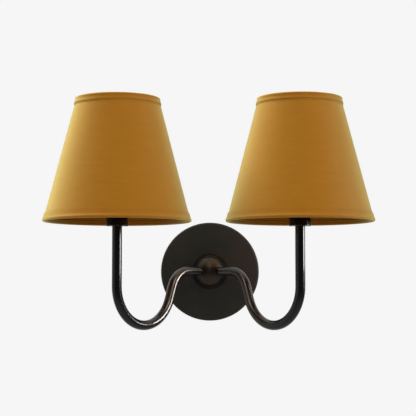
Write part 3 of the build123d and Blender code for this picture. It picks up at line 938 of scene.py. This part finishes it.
def ring_uv(piece, side):
    """Wraps a strip's UV round the ring: u along its length and v across it, in metres."""
    centre_x, centre_y = hoops[side, "top"][:2]
    layer = piece.data.uv_layers.new(name="strip")
    from_axis = [hypot(v.co.x - centre_x, v.co.y - centre_y) for v in piece.data.vertices]
    mean_radius = sum(from_axis) / len(from_axis)
    for corner, point, angle in corners_round(piece, side):
        across = point.z + hypot(point.x - centre_x, point.y - centre_y)
        layer.data[corner].uv = (angle * mean_radius, across)


print("the strip rolls over the wire at", round(roll_radius / mm, 3), "mm from its middle")

# %% [markdown]
# The wide fold's lengths are how far it reaches along the card, outside and inside. The narrow
# fold is a flat band that begins under the wide one and ends a little past it. It lies on the
# cloth with a hair's breadth between them, so neither face shows through the other.

# %% Trims
wide_fold = {"top": (5.2 * mm, 3.2 * mm), "bottom": (6.4 * mm, 3.2 * mm)}
narrow_fold = {"top": (6.7 * mm, 5.0 * mm), "bottom": (7.9 * mm, 6.2 * mm)}
narrow_thickness = 0.30 * mm
hair = 0.01 * mm
narrow_out = cover_half + narrow_thickness / 2 + hair
trims = {}
for side in sides:
    for end in ("top", "bottom"):
        wide = shade_ring_piece(
            f"shade_{end}_fold_{side}", side, trim_section(end, *wide_fold[end]), strip_thickness
        )
        narrow_section = [section_point(end, along, narrow_out) for along in narrow_fold[end]]
        narrow = shade_ring_piece(
            f"shade_{end}_narrow_fold_{side}", side, narrow_section, narrow_thickness
        )
        ring_uv(wide, side)
        ring_uv(narrow, side)
        trims[side, end] = (wide, narrow)
        print(side, end, "trim", len(wide.data.polygons) + len(narrow.data.polygons), "faces")

# %% [markdown]
# ## The seam
# The cloth meets itself on the wall side, where nobody looks: one edge is folded and laid over
# the other. That lap stands a little proud, as a narrow strip from trim to trim. It is made as
# one more ring, cut down to a short arc.

# %% Seams
seam_half_angle = radians(3.8)
seam_clear = 0.1 * mm
seam_first = narrow_fold["top"][0] + seam_clear
seam_last = card_length - narrow_fold["bottom"][0] - seam_clear
seams = {}
for side in sides:
    seam = shade_ring_piece(
        f"shade_seam_{side}",
        side,
        straight_section(narrow_out, seam_first, seam_last, rings_down),
        narrow_thickness,
        seam_half_angle,
    )
    flat_cut_uv(seam, side)
    seams[side] = seam
    print(seam.name, len(seam.data.polygons), "faces")

# %% [markdown]
# ## The weave
# The cloth is a fine plain weave. Its threads could be modelled, but there are hundreds of
# thousands of crossings. So the weave is two sets of waves on the flat cloth, one for each
# direction of thread, taken in turn by a checker: where one thread is on top, the other dips.

# %% Weave
thread_pitch = 0.42 * mm


def weave(tree, uv_name, turn=0.0):
    """Height of a plain weave, from 0 to 1, on a UV map in metres, and that map."""
    layer = tree.nodes.new("ShaderNodeUVMap")
    layer.uv_map = uv_name
    threads = tree.nodes.new("ShaderNodeMapping")
    threads.inputs["Scale"].default_value = (1 / thread_pitch, 1 / thread_pitch, 1)
    threads.inputs["Rotation"].default_value = (0, 0, turn)
    link(tree, layer.outputs[0], threads.inputs["Vector"])
    along = axes_of(tree, threads.outputs[0])
    heights = []
    for axis in ("X", "Y"):
        wave = maths(tree, "SINE", maths(tree, "MULTIPLY", along[axis], pi))
        heights.append(maths(tree, "ABSOLUTE", wave))
    over = tree.nodes.new("ShaderNodeTexChecker")
    over.inputs["Scale"].default_value = 1.0
    link(tree, threads.outputs[0], over.inputs["Vector"])
    return blend(tree, over.outputs["Fac"], *heights), layer.outputs[0]


print("about", round(1 / (thread_pitch / mm)), "threads in a millimetre, each way")

# %% [markdown]
# ## Mustard dye
# Seen from across a room the cloth looks smooth, deep orange-brown where it faces away from the
# lamps and pale yellow where the lamps graze its fibres. One pale colour would make it flat. So
# the colour is deep, and a pale sheen, which fibres have, gives the light sides. Slubs, the
# thicker places in a thread, vary the colour a little. The strips of the trims are cut slantwise
# to the threads, so that they go round an edge without creases, and there the weave is turned.

# %% Cloth finish
cloth_roughness = 0.5
cloth_gloss = 0.04
sheen_spread = 0.49
sheen_tint = (1.0, 0.96, 0.36)
slub_scale = 260.0
slub_stretch = (0.15, 1, 1)     # longer along the thread
gap_shade = ((0.0, (0.72, 0.68, 0.6)), (0.6, (1, 1, 1)))       # darker between the threads
gap_depth = 0.35
weave_bump, weave_strength = 0.05 * mm, 0.6


def mustard(name, uv_name, deep, pale, sheen, turn=0.0):
    """Dyed plain-weave cotton."""
    material, tree, shader = new_finish(name, deep, cloth_roughness)
    shader.inputs["Sheen Weight"].default_value = sheen
    shader.inputs["Sheen Roughness"].default_value = sheen_spread
    shader.inputs["Sheen Tint"].default_value = (*sheen_tint, 1)
    shader.inputs["Specular IOR Level"].default_value = cloth_gloss
    height, flat = weave(tree, uv_name, turn)
    slubs = noise_on(tree, flat, slub_scale, detail=2.0, stretch=slub_stretch)
    colour = ramp_between(tree, slubs, ((0.3, deep), (0.75, pale)))
    shadow = tree.nodes.new("ShaderNodeMix")
    shadow.data_type = "RGBA"
    shadow.blend_type = "MULTIPLY"
    shadow.inputs["Factor"].default_value = gap_depth
    link(tree, colour, shadow.inputs["A"])
    link(tree, ramp_between(tree, height, gap_shade), shadow.inputs["B"])
    link(tree, shadow.outputs["Result"], shader.inputs["Base Color"])
    bump_from(tree, shader, height, weave_bump, weave_strength)
    return material


shade_mustard = mustard(
    "shade_mustard", "flat_cut", deep=(0.292, 0.105, 0.002), pale=(0.317, 0.117, 0.003), sheen=1.0
)
strip_mustard = mustard(
    "strip_mustard",
    "strip",
    deep=(0.285, 0.101, 0.002),
    pale=(0.309, 0.112, 0.003),
    sheen=0.9,
    turn=pi / 4,
)
print("cloth:", shade_mustard.name, strip_mustard.name)

# %% [markdown]
# ## The lining
# The card inside is lined with thin paper in a warm brown. A little fibre noise is enough.

# %% Card finish
lining_brown = (0.27, 0.085, 0.006)
lining_tones = ((0.3, (0.25, 0.078, 0.005)), (0.7, (0.30, 0.10, 0.008)))
lining_roughness = 0.8
lining_gloss = 0.1
fibre_scale, fibre_bump = 700.0, 0.03 * mm

lining, tree, shader = new_finish("card_lining", lining_brown, lining_roughness)
shader.inputs["Specular IOR Level"].default_value = lining_gloss
fibre = noise_on(tree, object_coordinates(tree), fibre_scale, detail=4.0)
link(tree, ramp_between(tree, fibre, lining_tones), shader.inputs["Base Color"])
bump_from(tree, shader, fibre, fibre_bump)
print("lining:", lining.name)

# %% [markdown]

# %% [markdown]
# ## Putting the shades on their bodies
# Each piece moves with the shade it belongs to. The cloth stands for the imported cover, and each
# wide fold for the imported trim, which are then hidden.

# %% Ride and replace
for side in sides:
    body = f"shade_{side}"
    card, cloth, seam = cards[side], cloths[side], seams[side]
    for piece, finish in ((card, lining), (cloth, shade_mustard), (seam, shade_mustard)):
        piece.data.materials.append(finish)
        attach(piece, body)
    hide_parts(f"shade_cover_{side}")
    for end in ("top", "bottom"):
        for strip in trims[side, end]:
            strip.data.materials.append(strip_mustard)
            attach(strip, body)
        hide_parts(f"shade_{end}_trim_{side}")
    print(body, "carries its card, cloth, seam and", 2 * len(trims[side, "top"]), "folds")
